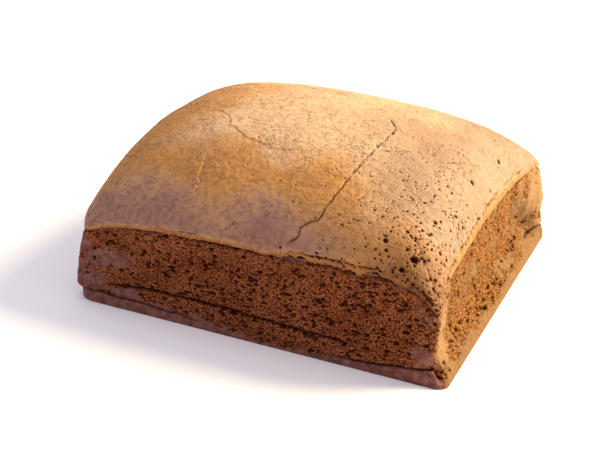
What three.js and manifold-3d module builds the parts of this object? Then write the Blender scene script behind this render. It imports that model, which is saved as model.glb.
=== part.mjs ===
// Castella sponge cake: one whole cake from a square tin, the lining paper peeled off its sides.
// Millimetres, +Z up. The front wall faces -Y, the right wall +X, and the flat foot rests on Z = 0.
//
// The real cake is one piece of sponge. It is built here as one solid in three steps:
//   1. rings of points run up the wall from the foot to the crust's edge and in over the dome;
//   2. the rings are joined into one closed skin;
//   3. the cracks and the burst bubbles of the crust are cut out of that solid.
import * as THREE from 'three';
import ManifoldModule from 'manifold-3d';

// Driving sizes
const TIN = 200;              // inside width of the square tin, so the foot's width
const HALF = TIN / 2;
const FOOT_RADIUS = 10;       // corner of the tin, in plan
const CORNER = { frontLeft: 8, frontRight: 4, backRight: 9, backLeft: 9 }; // wall corners, in plan

const RISE = 33;              // how far the dome stands over the crust's edge
const SHOULDER_POWER = 2.07;  // how flat the dome is in the middle
const STEEPNESS = { front: 0.48, right: 0.40, back: 0.53, left: 0.22 }; // lower is a steeper shoulder
const DOME_LEAN = -0.05;      // the dome is a little higher on the left

const SHRINK = { front: 2.3, right: 11.5, back: 6.9, left: 2.1 }; // wall stands in from the foot
const SKIRT = 17;             // height in which the right wall flares out to the foot
const EAR_SHARE = 0.85;       // how far the ear at the back right comes back out to the foot's line

const BAND = 5.5;             // smooth band of skin round the foot
const BAND_CREASE = 0.9;      // depth of the crease on top of it
const FOLD_CREASE = 1.3;      // depth of the long crease across the front wall
const CRUST_LIP = 1.1;        // how far the crust stands over the torn wall below it
const CRUMB = 0.35;           // roughness of the torn crumb

const PER_SIDE = 32;          // points along each side of a ring
const WALL_STEPS = [            // rings up the wall, as shares of its height, closer at the creases
  0, 0.02, 0.10, 0.125, 0.16, 0.22, 0.27, 0.295, 0.33, 0.45, 0.58, 0.72, 0.85, 0.95, 0.985, 1,
];
const DOME_STEPS = 13;

// Helpers
function smooth(x) {
  const t = Math.min(1, Math.max(0, x));
  return t * t * (3 - 2 * t);
}

function randomFrom(seed) {
  let state = seed;
  return () => {
    state = (state * 1664525 + 1013904223) % 4294967296;
    return state / 4294967296;
  };
}

// Waves of three lengths: a repeatable unevenness between about -1 and 1.
function uneven(x, y, z) {
  return 0.5 * Math.sin(x * 0.31 + Math.cos(z * 0.9) * 1.7 + y * 0.23)
    + 0.3 * Math.sin(x * 0.83 - y * 0.71 + z * 1.3)
    + 0.2 * Math.sin(x * 1.9 + y * 1.7 - z * 2.1);
}

// A value for each corner of the cake, blended quickly across the middle of the sides.
function atCorner(u, v, value) {
  const left = (1 - Math.min(1, Math.max(-1, u * 4))) / 2;
  const front = (1 - Math.min(1, Math.max(-1, v * 4))) / 2;
  return left * (front * value.frontLeft + (1 - front) * value.backLeft)
    + (1 - left) * (front * value.frontRight + (1 - front) * value.backRight);
}

// Rounds the corners of the square ring of size s through (u, v), all from -1 to 1.
function roundCorner(u, v, s, radius) {
  const share = radius / HALF;
  const straight = s * (1 - share);
  const cu = Math.max(Math.abs(u) - straight, 0) / Math.max(s * share, 1e-9);
  const cv = Math.max(Math.abs(v) - straight, 0) / Math.max(s * share, 1e-9);
  if (cu <= 0 || cv <= 0) return [u, v];
  const angle = (cu >= cv ? cv / 2 : 1 - cu / 2) * Math.PI / 2;
  return [
    Math.sign(u) * (straight + s * share * Math.cos(angle)),
    Math.sign(v) * (straight + s * share * Math.sin(angle)),
  ];
}

// Height of the crust's edge
// Each side is highest in the middle and droops to its corners, most of all at the front right.
const CORNER_HEIGHT = { frontLeft: 37.3, frontRight: 35.4, backRight: 44, backLeft: 43.5 };

function edgeHeight(u, v) {
  const au = Math.abs(u);
  const av = Math.abs(v);
  const front = 48.8 + 1.6 * u - (u < 0 ? 9.9 * au ** 5 : 15 * au ** 10);
  const right = 50 - (v < 0 ? 14.6 * av ** 1.45 : 6 * av ** 8);
  const back = 47.5 - (u < 0 ? 4 * au ** 6 : 3.5 * au ** 6);
  const left = 51.5 - (v < 0 ? 14.2 * av ** 2.5 : 8 * av ** 3);
  const h = CORNER_HEIGHT;
  const corners = (h.frontLeft * (1 - u) + h.frontRight * (1 + u)) * (1 - v) / 4
    + (h.backLeft * (1 - u) + h.backRight * (1 + u)) * (1 + v) / 4;
  return (front * (1 - v) + back * (1 + v) + left * (1 - u) + right * (1 + u)) / 2 - corners;
}

// How far each wall stands in from the foot
// The sides shrank while the cake cooled. The right wall flares out to the foot as a skirt, and the
// back right corner stands out of it like a folded ear. The front left corner bags out a little.
function ear(y, z) {
  const fold = 82 - 1.2 * (z - 5);
  return smooth((y - fold) / Math.max(96 - fold, 6));
}

function bag(z) {
  return smooth((z - 5) / 4) * (1 - smooth((z - 22) / 24));
}

function standsIn(side, along, z) {
  if (side === 'right') {
    const wall = SHRINK.right - 4.5 * (1 - smooth((along + 100) / 35));
    const earOut = EAR_SHARE * ear(along, z) * (1 - 0.45 * smooth((z - 25) / 25));
    return wall * smooth(z / SKIRT) ** 0.8 * (1 - earOut);
  }
  if (side === 'front') return SHRINK.front * smooth(z / 40) - 1.5 * bag(z) * smooth((-along - 70) / 25);
  if (side === 'left') return SHRINK.left * smooth(z / 40) - 1.8 * bag(z) * smooth((-along - 60) / 30);
  return SHRINK.back * smooth(z / 20);
}

function place(u, v, z) {
  const x = u * HALF;
  const y = v * HALF;
  const left = standsIn('left', y, z);
  const right = standsIn('right', y, z);
  const front = standsIn('front', x, z);
  const back = standsIn('back', x, z);
  return [
    left - HALF + (u + 1) / 2 * (TIN - left - right),
    front - HALF + (v + 1) / 2 * (TIN - front - back),
  ];
}

// Wall and dome
// The long crease across the front wall falls slowly to the right and fades before its end.
function creaseDepth(u, v, z) {
  const near = (height, width) => Math.exp(-(((z - height) / width) ** 2));
  const foldHeight = 14.3 - 2.2 * smooth((u + 0.2) / 0.8);
  const foldReach = v < -0.99 ? smooth((u + 0.8) / 0.1) * (1 - smooth((u - 0.4) / 0.2)) : 0;
  return BAND_CREASE * near(BAND + 0.4, 0.8) + FOLD_CREASE * foldReach * near(foldHeight, 1);
}

function wallPoint(u, v, t) {
  const crustRadius = atCorner(u, v, CORNER);
  const [cu, cv] = roundCorner(u, v, 1, crustRadius);
  const z = t * edgeHeight(cu, cv);
  const radius = FOOT_RADIUS + (crustRadius - FOOT_RADIUS) * smooth((z - BAND) / 3);
  const [wu, wv] = roundCorner(u, v, 1, radius);
  const [x, y] = place(wu, wv, z);
  const torn = smooth((z - BAND) / 3) * smooth((1 - t) / 0.06);
  const underLip = torn * CRUST_LIP * (1 - smooth((1 - t) / 0.2));
  const inward = creaseDepth(wu, wv, z) + underLip + CRUMB * torn * uneven(x, y, z);
  const length = Math.hypot(wu, wv);
  return [x - inward * wu / length, y - inward * wv / length, z];
}

function shoulder(t, near, far) {
  return Math.max(0, 1 - Math.abs(t) ** SHOULDER_POWER) ** (t < 0 ? near : far);
}

function domePoint(u, v) {
  const s = Math.max(Math.abs(u), Math.abs(v));
  const radius = atCorner(u, v, CORNER) * smooth((s - 0.6) / 0.4); // square corners farther in, no ridge
  const [wu, wv] = roundCorner(u, v, s, radius);
  const edge = edgeHeight(wu, wv);
  const [x, y] = place(wu, wv, edge);
  const dome = shoulder(u, STEEPNESS.left, STEEPNESS.right) * shoulder(v, STEEPNESS.front, STEEPNESS.back);
  return [x, y, edge + RISE * dome * (1 + DOME_LEAN * u)];
}

// Points round the square ring from -1 to 1, closer together near the corners.
function ringStations() {
  const along = Array.from({ length: PER_SIDE }, (_, i) => {
    const t = -1 + 2 * i / PER_SIDE;
    return 0.75 * t + 0.25 * Math.sin(t * Math.PI / 2);
  });
  return [
    ...along.map((t) => [t, -1]),
    ...along.map((t) => [1, t]),
    ...along.map((t) => [-t, 1]),
    ...along.map((t) => [-1, -t]),
  ];
}

// Rings joined into one closed skin
const stations = ringStations();
const rings = WALL_STEPS.map((t) => stations.map(([u, v]) => wallPoint(u, v, t)));
for (let i = 1; i < DOME_STEPS; i += 1) {
  const s = Math.cos(i / DOME_STEPS * Math.PI / 2) ** 0.72; // close rings on the steep shoulder
  rings.push(stations.map(([u, v]) => domePoint(u * s, v * s)));
}

const points = rings.flat();
const count = stations.length;
const triangles = [];
for (let ring = 0; ring < rings.length - 1; ring += 1) {
  for (let i = 0; i < count; i += 1) {
    const a = ring * count + i;
    const b = ring * count + (i + 1) % count;
    triangles.push(a, b, b + count, a, b + count, a + count);
  }
}
function fan(firstPoint, middle, upwards) {
  points.push(middle);
  const hub = points.length - 1;
  for (let i = 0; i < count; i += 1) {
    const a = firstPoint + i;
    const b = firstPoint + (i + 1) % count;
    triangles.push(...(upwards ? [a, b, hub] : [b, a, hub]));
  }
}
fan((rings.length - 1) * count, domePoint(0, 0), true);
fan(0, [0, 0, 0], false);

// Cracks and bubbles of the crust
const { Manifold, Mesh, setup } = await ManifoldModule().then((module) => { module.setup(); return module; });

// Height of the dome over a point of the plan, by walking the ring coordinates towards it.
function domeAt(x, y) {
  let u = x / HALF;
  let v = y / HALF;
  let point = domePoint(u, v);
  for (let i = 0; i < 12; i += 1) {
    u = Math.min(0.995, Math.max(-0.995, u + (x - point[0]) / HALF));
    v = Math.min(0.995, Math.max(-0.995, v + (y - point[1]) / HALF));
    point = domePoint(u, v);
  }
  return point;
}

// A crack is a V-shaped groove along a path on the dome: half-width and depth in mm.
function crack(path, halfWidth, depth) {
  const corners = [];
  path.forEach(([x, y], i) => {
    const before = path[Math.max(0, i - 1)];
    const after = path[Math.min(path.length - 1, i + 1)];
    const length = Math.hypot(after[0] - before[0], after[1] - before[1]);
    const across = [-(after[1] - before[1]) / length, (after[0] - before[0]) / length];
    const fade = i === 0 || i === path.length - 1 ? 0.3 : 1;
    const z = domeAt(x, y)[2];
    for (const side of [-1, 1]) {
      corners.push([x + across[0] * side * halfWidth * 2, y + across[1] * side * halfWidth * 2, z + 2]);
    }
    corners.push([x, y, z - depth * fade]);
  });
  const pieces = [];
  for (let i = 0; i < path.length - 1; i += 1) {
    pieces.push(Manifold.hull(corners.slice(i * 3, i * 3 + 6)));
  }
  return Manifold.union(pieces);
}

const CRACKS = [
  // the long crack from the middle of the dome down to the front edge
  {
    path: [[27, 2], [37, -10], [36, -31], [33, -63], [29, -81], [21, -91], [20, -95]],
    halfWidth: 0.9,
    depth: 1.8,
  },
  // its branch to the right
  { path: [[37, -36], [46, -32], [64, -19]], halfWidth: 0.5, depth: 0.9 },
  // the crack round the middle of the dome
  {
    path: [[-62, -30], [-53, -29], [-41, -44], [-28, -50], [-11, -56], [3, -52], [7, -56]],
    halfWidth: 0.9,
    depth: 1.2,
  },
];

// Bubbles burst through the crust, most of them near the front right corner.
const BUBBLES = 34;
const BUBBLE_RADIUS = { least: 0.9, most: 1.9 };

function bubbles() {
  const random = randomFrom(7);
  const cut = [];
  const taken = [];
  while (cut.length < BUBBLES) {
    const x = 88 - 75 * random() ** 1.6;
    const y = -92 + 120 * random() ** 1.7;
    const size = random() ** 2.2;
    const radius = BUBBLE_RADIUS.least + (BUBBLE_RADIUS.most - BUBBLE_RADIUS.least) * size;
    const [px, py, z] = domeAt(Math.min(x, 84), y);
    const clear = taken.every(([qx, qy]) => Math.hypot(px - qx, py - qy) > 5);
    if (clear) {
      taken.push([px, py]);
      cut.push(Manifold.sphere(radius, 8).translate([px, py, z - radius * 0.25]));
    }
  }
  return Manifold.union(cut);
}

const skin = new Mesh({
  numProp: 3,
  vertProperties: new Float32Array(points.flat()),
  triVerts: new Uint32Array(triangles),
});
let cake = new Manifold(skin);
for (const { path, halfWidth, depth } of CRACKS) cake = cake.subtract(crack(path, halfWidth, depth));
cake = cake.subtract(bubbles());

// Keep the one large body and its bottom centre on the origin.
cake = cake.decompose().sort((a, b) => b.volume() - a.volume())[0];
const box = cake.boundingBox();
cake = cake.translate([-(box.min[0] + box.max[0]) / 2, -(box.min[1] + box.max[1]) / 2, -box.min[2]]);

// The part
const mesh = cake.getMesh();
const geometry = new THREE.BufferGeometry();
geometry.setAttribute('position', new THREE.BufferAttribute(new Float32Array(mesh.vertProperties), 3));
geometry.setIndex(new THREE.BufferAttribute(new Uint32Array(mesh.triVerts), 1));
geometry.computeVertexNormals();

const sponge = new THREE.Mesh(
  geometry,
  new THREE.MeshStandardMaterial({ color: 0xb07a4e, roughness: 0.85, metalness: 0 }),
);
sponge.name = 'castella_sponge';

const part = new THREE.Group();
part.name = 'castella_sponge_cake';
part.add(sponge);

export default part;
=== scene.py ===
# %% [markdown]
# # A castella sponge cake
# This lesson builds one whole sponge cake from a square tin. The crust on top is a smooth brown
# skin with burst bubbles and a few cracks. The sides are torn crumb, because most of their skin was
# pulled off when the cake came out of the tin, and a strip of skin is left round the foot. The cake
# is modelled in six pieces: the crust, four walls of crumb and the underside. The cake is solid, so
# each piece runs in to near the middle of the cake and is closed there.

import math

import bpy
import numpy as np
from mathutils import Matrix, Vector


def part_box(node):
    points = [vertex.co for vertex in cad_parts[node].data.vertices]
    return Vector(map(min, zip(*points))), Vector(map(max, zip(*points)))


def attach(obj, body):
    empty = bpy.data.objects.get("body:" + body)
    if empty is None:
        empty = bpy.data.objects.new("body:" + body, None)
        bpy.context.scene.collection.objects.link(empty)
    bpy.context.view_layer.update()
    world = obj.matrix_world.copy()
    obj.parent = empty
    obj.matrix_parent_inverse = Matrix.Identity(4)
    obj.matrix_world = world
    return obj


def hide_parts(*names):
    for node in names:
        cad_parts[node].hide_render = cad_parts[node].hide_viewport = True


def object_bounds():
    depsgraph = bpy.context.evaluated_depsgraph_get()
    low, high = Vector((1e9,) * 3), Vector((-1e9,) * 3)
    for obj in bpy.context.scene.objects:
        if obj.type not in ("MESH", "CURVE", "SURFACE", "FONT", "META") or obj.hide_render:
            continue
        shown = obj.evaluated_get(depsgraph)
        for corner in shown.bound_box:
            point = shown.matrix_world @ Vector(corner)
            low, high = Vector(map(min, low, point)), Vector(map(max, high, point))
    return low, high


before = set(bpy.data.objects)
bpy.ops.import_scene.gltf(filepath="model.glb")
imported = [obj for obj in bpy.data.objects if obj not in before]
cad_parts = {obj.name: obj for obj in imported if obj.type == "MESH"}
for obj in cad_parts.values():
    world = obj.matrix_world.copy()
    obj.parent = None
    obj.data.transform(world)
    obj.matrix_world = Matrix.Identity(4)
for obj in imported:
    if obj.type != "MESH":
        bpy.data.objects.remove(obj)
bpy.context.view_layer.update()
NODE = "castella_sponge"
MM = 0.001
low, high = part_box(NODE)
print("the plain solid measures", [round((high[i] - low[i]) / MM, 1) for i in range(3)], "mm")

# %% [markdown]
# ## Sizes of the cake
# The tin is 200 mm square, so the foot is too. While a sponge cools, its walls shrink away from the
# tin, each by its own amount. The dome stands 33 mm over the crust's edge, with steep shoulders and
# a flat middle. All lengths below are in millimetres and are turned into metres when a mesh is
# made.

# %% Driving sizes
TIN = 200.0
HALF = TIN / 2
FOOT_RADII = (10.0, 5.5, 10.0, 10.0)  # front left, front right, back right, back left
CORNER_RADII = (8.0, 4.0, 9.0, 9.0)  # the same corners at the crust's edge
RISE = 33.0  # of the dome over the crust's edge
SHOULDER_POWER = 2.07  # a higher one makes the dome's middle flatter
STEEPNESS = {"front": 0.48, "right": 0.40, "back": 0.53, "left": 0.22}  # lower is steeper
DOME_LEAN = -0.05  # the dome is a little higher on its left
SHRINK = {"front": 2.3, "right": 11.5, "back": 6.9, "left": 2.1}  # each wall away from the tin
SKIRT = 17.0  # the height over which the right wall slopes in from the foot
EAR_SHARE = 0.85  # the share of that slope that the folded ear takes back
BAND = 5.5  # the height up to which the corners keep the foot's radii
MOST_TRIANGLES = 196000  # of one piece

# the plain solid's middle is a little off the tin's middle, so the cake is moved with it
SHIFT = np.array([high[0] / MM - HALF, high[1] / MM - HALF, 0.0])
print("the tin is", TIN, "mm square and the dome rises", RISE, "mm over its edge")

# %% [markdown]
# ## The form as functions
# A point of the cake is told by u and v, which run from -1 to 1 across the tin. A few functions
# give the form: how high the crust's edge is, how far a wall stands in from the foot, and how the
# dome rises from its edge. Writing the form as functions lets the crust and the walls share one
# edge exactly, however fine their meshes are. The first ones round the corners, each by its own
# radius, as the batter didn't fill all of the tin's corners alike.


# %% Rounded corners
def smooth(x):
    """An even step from 0 to 1."""
    x = np.clip(x, 0.0, 1.0)
    return x * x * (3.0 - 2.0 * x)


def at_corner(u, v, values):
    """A value for each corner of the cake, blended across the middle of the sides."""
    left = (1 - np.clip(u * 4, -1, 1)) / 2
    front = (1 - np.clip(v * 4, -1, 1)) / 2
    fl, fr, br, bl = values
    return left * (front * fl + (1 - front) * bl) + (1 - left) * (front * fr + (1 - front) * br)


def round_corner(u, v, s, radius):
    """Rounds the corners of the square ring of size s that passes through (u, v)."""
    share = np.maximum(radius / HALF, 1e-6)
    straight = s * (1 - share)
    reach = np.maximum(s * share, 1e-9)
    cu = np.maximum(np.abs(u) - straight, 0) / reach
    cv = np.maximum(np.abs(v) - straight, 0) / reach
    turn = np.where(cu >= cv, cv / 2, 1 - cu / 2) * math.pi / 2
    in_corner = (cu > 0) & (cv > 0)
    ru = np.where(in_corner, straight + s * share * np.cos(turn), np.abs(u))
    rv = np.where(in_corner, straight + s * share * np.sin(turn), np.abs(v))
    return np.sign(u) * ru, np.sign(v) * rv


# %% [markdown]
# ## The crust's edge
# The line where the crust meets the walls isn't level. On each side it is highest in the middle and
# falls to the corners, by a curve of its own. Blending the four curves over the whole tin gives a
# height to every point, so that the dome can start from it.


# %% Height of the crust's edge
def edge_height(u, v):
    """Height of the crust's edge in mm: one curve for each side, blended inwards."""
    au, av = np.abs(u), np.abs(v)
    front = 48.8 + 1.6 * u - np.where(u < 0, 9.9 * au**5, 15 * au**10)
    right = 50 - np.where(v < 0, 14.6 * av**1.45, 6 * av**8)
    back = 47.5 - np.where(u < 0, 4 * au**6, 3.5 * au**6)
    left = 51.5 - np.where(v < 0, 14.2 * av**2.5, 8 * av**3)
    # the blend counts each corner twice, so the corners' own heights come off once
    corners = (37.3 * (1 - u) + 35.4 * (1 + u)) * (1 - v) / 4
    corners = corners + (43.5 * (1 - u) + 44 * (1 + u)) * (1 + v) / 4
    return (front * (1 - v) + back * (1 + v) + left * (1 - u) + right * (1 + u)) / 2 - corners


# %% [markdown]
# ## The walls' inset
# The right wall shrank furthest, and at its back end the corner stayed out like a folded ear. The
# front and left walls are almost upright and bag out a little near their shared corner, where the
# batter was heavy. All of this is one number for each point: how far the wall stands in.


# %% Inset of the walls
def ear(y, z):
    """The back right corner stands out of the wall like a folded ear, from 0 to 1."""
    fold = 82 - 1.2 * (z - 5)
    return smooth((y - fold) / np.maximum(96 - fold, 6))


def bag(z):
    """How much the front left corner bags out at a height, from 0 to 1."""
    return smooth((z - 5) / 4) * (1 - smooth((z - 22) / 24))


def stands_in(side, along, z):
    """How far a wall stands in from the foot, in mm."""
    if side == "right":
        wall = SHRINK["right"] - 4.5 * (1 - smooth((along + 100) / 35))
        ear_out = EAR_SHARE * ear(along, z) * (1 - 0.45 * smooth((z - 25) / 25))
        return wall * smooth(z / SKIRT) ** 0.8 * (1 - ear_out)
    if side == "front":
        return SHRINK["front"] * smooth(z / 40) - 1.5 * bag(z) * smooth((-along - 70) / 25)
    if side == "left":
        return SHRINK["left"] * smooth(z / 40) - 1.8 * bag(z) * smooth((-along - 60) / 30)
    return SHRINK["back"] * smooth(z / 20)


def place(u, v, z):
    """The place in plan of (u, v) at height z, between the four insets."""
    x, y = u * HALF, v * HALF
    left, right = stands_in("left", y, z), stands_in("right", y, z)
    front, back = stands_in("front", x, z), stands_in("back", x, z)
    px = left - HALF + (u + 1) / 2 * (TIN - left - right)
    py = front - HALF + (v + 1) / 2 * (TIN - front - back)
    return px, py


# %% [markdown]
# ## The dome and the bare wall
# A sponge rises most where it is free, so the dome's profile is flat in the middle and drops
# steeply at the tin. One such profile across and one along, multiplied, give the whole dome. The
# wall runs from the floor up to the crust's edge, and its corners change from the foot's radii to
# the crust's radii on the way.


# %% The dome and the bare wall
def shoulder(t, near, far):
    """The dome's profile, from 0 at the rim to 1 in the middle."""
    return np.clip(1 - np.abs(t) ** SHOULDER_POWER, 0, 1) ** np.where(t < 0, near, far)


def dome(u, v):
    """A point of the bare dome in mm."""
    s = np.maximum(np.abs(u), np.abs(v))
    radius = at_corner(u, v, CORNER_RADII) * smooth((s - 0.6) / 0.4)
    ru, rv = round_corner(u, v, s, radius)
    edge = edge_height(ru, rv)
    x, y = place(ru, rv, edge)
    lift = shoulder(u, STEEPNESS["left"], STEEPNESS["right"])
    lift = lift * shoulder(v, STEEPNESS["front"], STEEPNESS["back"])
    return x, y, edge + RISE * lift * (1 + DOME_LEAN * u)


def wall(u, v, t):
    """A point of the bare wall in mm; t runs from 0 at the floor to 1 at the crust's edge."""
    crust_radius = at_corner(u, v, CORNER_RADII)
    cu, cv = round_corner(u, v, 1.0, crust_radius)
    z = t * edge_height(cu, cv)
    foot_radius = at_corner(u, v, FOOT_RADII)
    radius = foot_radius + (crust_radius - foot_radius) * smooth((z - BAND) / 3)
    wu, wv = round_corner(u, v, 1.0, radius)
    x, y = place(wu, wv, z)
    return x, y, z


# %% [markdown]
# ## The crust
# The crust is the skin that faced the oven's heat. It starts as a fine grid laid over the tin, its
# points are pulled up into the dome, and then wrinkles, cracks and bubbles are pressed into it. The
# shoulders are almost upright, so points that are even in plan would leave them bare. The points
# are therefore spaced evenly along the dome's own profile.

# %% Even spacing along the dome
CRUST_GRID = 620


def even_along_dome(near, far, count):
    """Stations from -1 to 1 that are evenly spaced along the dome's profile, and their lengths."""
    tail = np.geomspace(1e-12, 1, 3000)
    t = np.concatenate([tail - 1, (1 - tail)[::-1][1:]])
    step = np.hypot(np.diff(t) * HALF, np.diff(RISE * shoulder(t, near, far)))
    length = np.concatenate([[0], np.cumsum(step)])
    even = np.linspace(0, length[-1], count + 1)
    return np.interp(even, length, t), even


print("the crust's grid has", CRUST_GRID, "by", CRUST_GRID, "faces")

# %% [markdown]
# ## The dome as a grid of points
# Two lengths go with each point: how far it is from the left rim and from the front rim, along the
# dome. Noise and marks are laid out by these lengths, so nothing gets stretched on the steep
# shoulders.

# %% Points of the dome
u_stations, u_lengths = even_along_dome(STEEPNESS["left"], STEEPNESS["right"], CRUST_GRID)
v_stations, v_lengths = even_along_dome(STEEPNESS["front"], STEEPNESS["back"], CRUST_GRID)
crust_u, crust_v = np.meshgrid(u_stations, v_stations)
lu, lv = np.meshgrid(u_lengths, v_lengths)
from_rim = np.minimum(np.minimum(lu, u_lengths[-1] - lu), np.minimum(lv, v_lengths[-1] - lv))
cx, cy, cz = dome(crust_u, crust_v)
crust_rim = 1 - smooth(from_rim / 9)
print("points of the crust are", round(float(u_lengths[1]), 2), "mm apart")

# %% [markdown]
# ## The soft back corners
# Two shoulders meet at each back corner, and the form has a sharp groove there that no sponge would
# keep. The points near it are moved to the mean of their neighbours, again and again, until the
# groove is soft.

# %% Relax the back corners
RELAX_ROUNDS = 350
from_side = np.minimum(lu, u_lengths[-1] - lu)
groove_share = np.exp(-(((from_side - (v_lengths[-1] - lv)) / 9) ** 2)) * smooth((cy - 40) / 30)
for _ in range(RELAX_ROUNDS):
    for grid in (cx, cy, cz):
        inner = grid[1:-1, 1:-1]
        mean = (grid[:-2, 1:-1] + grid[2:, 1:-1] + grid[1:-1, :-2] + grid[1:-1, 2:]) / 4
        inner += groove_share[1:-1, 1:-1] * (mean - inner)
print("dome's top at", round(float(cz.max()), 1), "mm")

# %% [markdown]
# ## Which way is outward
# Wrinkles stand out of the crust and bubbles go into it, at right angles to the surface. So the
# outward direction of every point is worked out once, from the steps to its neighbours in the grid.


# %% Outward direction of a grid of points
def outward(x, y, z, around=False):
    """Unit normals of a grid; around says that its columns close into a ring."""

    def along(values):
        if not around:
            return np.gradient(values, axis=1)
        return (np.roll(values, -1, axis=1) - np.roll(values, 1, axis=1)) / 2

    across = np.stack([along(x), along(y), along(z)], -1)
    upward = np.stack([np.gradient(x, axis=0), np.gradient(y, axis=0), np.gradient(z, axis=0)], -1)
    normal = np.cross(across, upward)
    return normal / np.maximum(np.linalg.norm(normal, axis=-1, keepdims=True), 1e-9)


crust_points = np.stack([cx, cy, cz], -1)
crust_normals = outward(cx, cy, cz)
print("crust and its directions:", crust_points.shape, crust_normals.shape)

# %% [markdown]
# ## Soft noise
# A baked skin is uneven at every size, but never jagged. A table of random numbers, read with soft
# steps between its cells, gives such an unevenness. The cell's size says how coarse it is, and the
# seed makes it the same every time.


# %% Soft noise
def noise_2d(a, b, cell_a, cell_b, seed, around=None):
    """Soft noise from -1 to 1 over the plane (a, b); around makes it repeat along a."""
    rng = np.random.default_rng(seed)
    cells = int(round(around / cell_a)) if around else int(np.ptp(a) / cell_a) + 3
    step = around / cells if around else cell_a
    ga = (a - (0 if around else a.min())) / step
    gb = (b - b.min()) / cell_b
    ia, ib = np.floor(ga).astype(int), np.floor(gb).astype(int)
    fa, fb = smooth(ga - ia), smooth(gb - ib)
    table = rng.uniform(-1, 1, (int(gb.max()) + 3, cells))
    left, right = ia % cells, (ia + 1) % cells
    lower = table[ib, left] * (1 - fa) + table[ib, right] * fa
    upper = table[ib + 1, left] * (1 - fa) + table[ib + 1, right] * fa
    return lower * (1 - fb) + upper * fb


# %% [markdown]
# ## Swells and ripples
# The dome dried while it sank a little, so its skin has slow swells of some 25 mm and slanting
# ripples of a few millimetres, and a fine grain on top.

# %% Swells and ripples of the crust
relief = 0.40 * noise_2d(lu, lv, 26, 22, 11) + 0.13 * noise_2d(lu, lv, 9, 7, 12)
ripple = noise_2d(lu + 0.45 * lv + 3 * noise_2d(lu, lv, 14, 14, 15), lv - 0.3 * lu, 5.5, 2.6, 13)
relief += 0.16 * (1 - 2 * np.abs(ripple)) * smooth(0.6 + noise_2d(lu, lv, 30, 30, 16))
relief += 0.045 * noise_2d(lu + 0.4 * lv, lv, 1.9, 1.4, 14)
print("swells and ripples of up to", round(float(np.abs(relief).max()), 2), "mm")

# %% [markdown]
# ## Fine wrinkles
# Between the ripples the skin has thin broken wrinkles, like the skin on boiled milk. A wrinkle is
# drawn where a noise passes through nought, which gives lines that wander and end. They come in
# clusters, in two sizes, and the front shoulder has hardly any. Near the rim the skin is drawn
# tight, so all of the relief is lower there.

# %% Fine wrinkles of the crust
wrinkle = np.zeros_like(cx)
for cell_along, cell_up, seed in ((7.0, 3.4, 17), (3.6, 2.0, 18)):
    bent = 2.5 * noise_2d(lu, lv, 9, 9, seed + 70)
    line = noise_2d(lu + 0.35 * lv + bent, lv - 0.25 * lu + bent, cell_along, cell_up, seed)
    clusters = smooth(0.35 + 1.6 * noise_2d(lu, lv, 15, 13, seed + 80))
    wrinkle = np.maximum(wrinkle, smooth(1 - 6.5 * np.abs(line)) * clusters)
wrinkle *= 0.15 + 0.85 * smooth((lv - 28) / 25)
relief -= 0.12 * wrinkle
relief *= 1 - 0.6 * crust_rim
print("wrinkles on", round(float((wrinkle > 0.5).mean()) * 100, 1), "% of the crust")

# %% [markdown]
# ## Cracks
# A crack is where the drying crust tore while the cake still rose. One side curls up a little and
# catches the light, and the other side dips. Each crack is a short path in plan, and every point of
# the crust near it is lifted or lowered by its distance to the path.

# %% Where the cracks run
CRACKS = [
    # path in plan, half-width, depth, lift of the left side
    ([(27, 2), (33, -4), (37, -10), (37.5, -21), (36, -31), (35, -47), (33, -63), (31, -73), (29, -81),
      (28, -87), (20.5, -91.5), (20.8, -94.5), (15, -97)], 0.40, 1.1, 0.28),
    ([(37, -36), (46, -32), (55, -25), (64, -18.5)], 0.38, 0.8, -0.25),
    ([(-62, -30), (-53, -29), (-45, -36), (-41, -43.6), (-37, -44.5), (-28, -50.4), (-16, -53.8),
      (-11, -55.6), (-3.4, -54.8), (3, -52.3), (7.3, -56)], 0.36, 0.25, 0.22),
    ([(-50, -23), (-40, -15.7), (-30, -12), (-18, -5.7), (-11, -11)], 0.4, 0.4, 0.15),
    ([(7, -56), (14, -49), (22, -44), (35, -42)], 0.35, 0.3, 0.12),
    ([(-75, 18), (-55, 24), (-30, 30), (-5, 29)], 0.4, 0.35, 0.15),
    ([(40, -8), (52, 2), (60, 14), (72, 20)], 0.35, 0.35, -0.12),
    ([(-41, -66), (-40, -75), (-38.7, -81.4), (-35.2, -89)], 0.38, 0.5, -0.45),
    ([(-26.5, -95), (-25.6, -97)], 0.7, 0.8, 0.0),
]
print(len(CRACKS), "cracks")

# %% [markdown]
# ## Distance to a crack
# The distance is measured to each straight bit of the path, and the nearest one counts. Its side
# tells which edge of the crack curls up.


# %% Distance to a path
def along_path(x, y, path):
    """Distance to a path in mm, and which side of it a point is on."""
    best = np.full(x.shape, 1e9)
    side = np.zeros(x.shape)
    for (x0, y0), (x1, y1) in zip(path[:-1], path[1:]):
        dx, dy = x1 - x0, y1 - y0
        t = np.clip(((x - x0) * dx + (y - y0) * dy) / (dx * dx + dy * dy), 0, 1)
        gap = np.hypot(x - x0 - t * dx, y - y0 - t * dy)
        nearer = gap < best
        best = np.where(nearer, gap, best)
        side = np.where(nearer, np.sign(dx * (y - y0) - dy * (x - x0)), side)
    return best, side


# %% [markdown]
# ## Tear the crust
# A real crack wanders and opens by different amounts along its way. Two noises do that: one bends
# the path sideways, and one widens and closes it. Towards its ends a crack runs out.

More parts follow.
